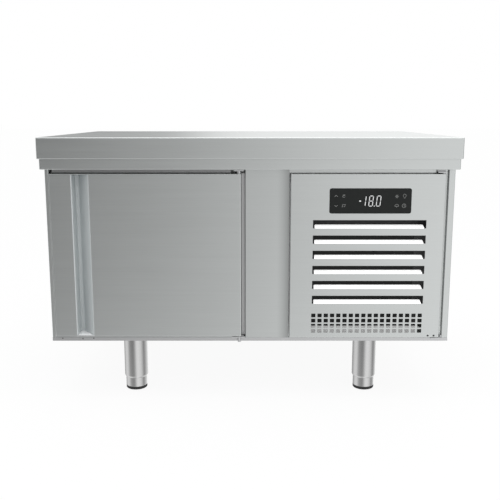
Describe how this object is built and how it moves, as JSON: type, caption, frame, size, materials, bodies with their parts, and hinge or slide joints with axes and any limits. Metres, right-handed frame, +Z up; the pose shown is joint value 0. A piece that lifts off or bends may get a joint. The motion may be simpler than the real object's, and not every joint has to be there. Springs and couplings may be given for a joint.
{
  "type": "undercounter freezer",
  "caption": "Low steel refrigerated counter with a hinged insulated door, a slotted machine panel with a display, a wire shelf, cooling unit and adjustable legs.",
  "frame": {"origin": "on the floor, under the middle of the worktop", "axes": "+X to the viewer's right along the front, +Y to the back, +Z up"},
  "size_m": [1, 0.7, 0.65],
  "materials": {
    "worktop_steel": "brushed",
    "body_steel": "brushed",
    "plain_steel": "satin",
    "leg_steel": "satin",
    "foam": "matte",
    "black_plastic": "matte",
    "grey_plastic": "matte",
    "display_black": "glossy",
    "seal_grey": "matte",
    "foot_rubber": "matte",
    "copper": "satin",
    "fin_aluminium": "satin",
    "coil_black": "matte",
    "black_paint": "satin",
    "motor_grey": "satin"
  },
  "bodies": {
    "cabinet": {"worktop": "worktop_steel", "worktop_core": "foam", "top_frame": "body_steel", "side_panel_left": "body_steel", "side_panel_right": "body_steel", "back_panel": "plain_steel", "base_pan": "plain_steel", "insulation_left": "foam", "insulation_back": "foam", "insulation_floor_and_ceiling": "foam", "insulation_divider": "foam", "inner_liner": "plain_steel", "door_frame": "body_steel", "mullion_cover": "body_steel", "divider_panel": "plain_steel", "lintel_rail": "body_steel", "bottom_rail": "body_steel", "leg_plates": "plain_steel", "leg_bolts": "plain_steel", "leg_tubes": "leg_steel", "shelf_uprights": "plain_steel", "shelf_runners": "plain_steel", "wire_shelf": "plain_steel", "evaporator_fins": "fin_aluminium", "evaporator_tubes": "copper", "evaporator_cover": "plain_steel", "evaporator_fan_motor": "motor_grey", "drain_tray": "grey_plastic", "compressor": "black_paint", "compressor_mounts": "foot_rubber", "condenser_fins": "coil_black", "condenser_tubes": "coil_black", "condenser_shroud": "plain_steel", "condenser_fan_motor": "motor_grey", "filter_drier": "copper", "refrigerant_pipes": "copper", "condensate_tray": "grey_plastic", "cable_gland": "black_plastic", "door_hinge_brackets": "plain_steel", "panel_hinge_brackets": "plain_steel"},
    "door": {"door_skin": "body_steel", "door_liner": "plain_steel", "door_foam": "foam", "door_gasket": "seal_grey", "door_hinge_blocks": "black_plastic"},
    "machine_panel": {"front_panel": "body_steel", "display_glass": "display_black", "controller_module": "black_plastic", "panel_hinge_blocks": "black_plastic", "panel_screws": "black_paint"},
    "evaporator_fan": {"evaporator_fan": "black_plastic"},
    "condenser_fan": {"condenser_fan": "black_plastic"},
    "foot_front_left": {"foot_insert_front_left": "leg_steel", "foot_tip_front_left": "foot_rubber"},
    "foot_front_right": {"foot_insert_front_right": "leg_steel", "foot_tip_front_right": "foot_rubber"},
    "foot_back_left": {"foot_insert_back_left": "leg_steel", "foot_tip_back_left": "foot_rubber"},
    "foot_back_right": {"foot_insert_back_right": "leg_steel", "foot_tip_back_right": "foot_rubber"}
  },
  "joints": [
    {"name": "door_swing", "type": "hinge", "parent": "cabinet", "child": "door", "pos_m": [-0.0265, -0.328, 0.3645], "axis": [0, 0, 1], "range_deg": [0, 105]},
    {"name": "panel_swing", "type": "hinge", "parent": "cabinet", "child": "machine_panel", "pos_m": [0.46, -0.328, 0.36325], "axis": [0, 0, 1], "range_deg": [0, 95]},
    {"name": "evaporator_fan_spin", "type": "hinge", "parent": "cabinet", "child": "evaporator_fan", "pos_m": [-0.04, -0.1078, 0.3625], "axis": [1, 0, 0], "continuous": true},
    {"name": "condenser_fan_spin", "type": "hinge", "parent": "cabinet", "child": "condenser_fan", "pos_m": [0.27325, -0.183, 0.2952], "axis": [0, 1, 0], "continuous": true},
    {"name": "foot_front_left_height", "type": "slide", "parent": "cabinet", "child": "foot_front_left", "axis": [0, 0, -1], "range_m": [-0.02, 0.025]},
    {"name": "foot_front_right_height", "type": "slide", "parent": "cabinet", "child": "foot_front_right", "axis": [0, 0, -1], "range_m": [-0.02, 0.025]},
    {"name": "foot_back_left_height", "type": "slide", "parent": "cabinet", "child": "foot_back_left", "axis": [0, 0, -1], "range_m": [-0.02, 0.025]},
    {"name": "foot_back_right_height", "type": "slide", "parent": "cabinet", "child": "foot_back_right", "axis": [0, 0, -1], "range_m": [-0.02, 0.025]}
  ]
}
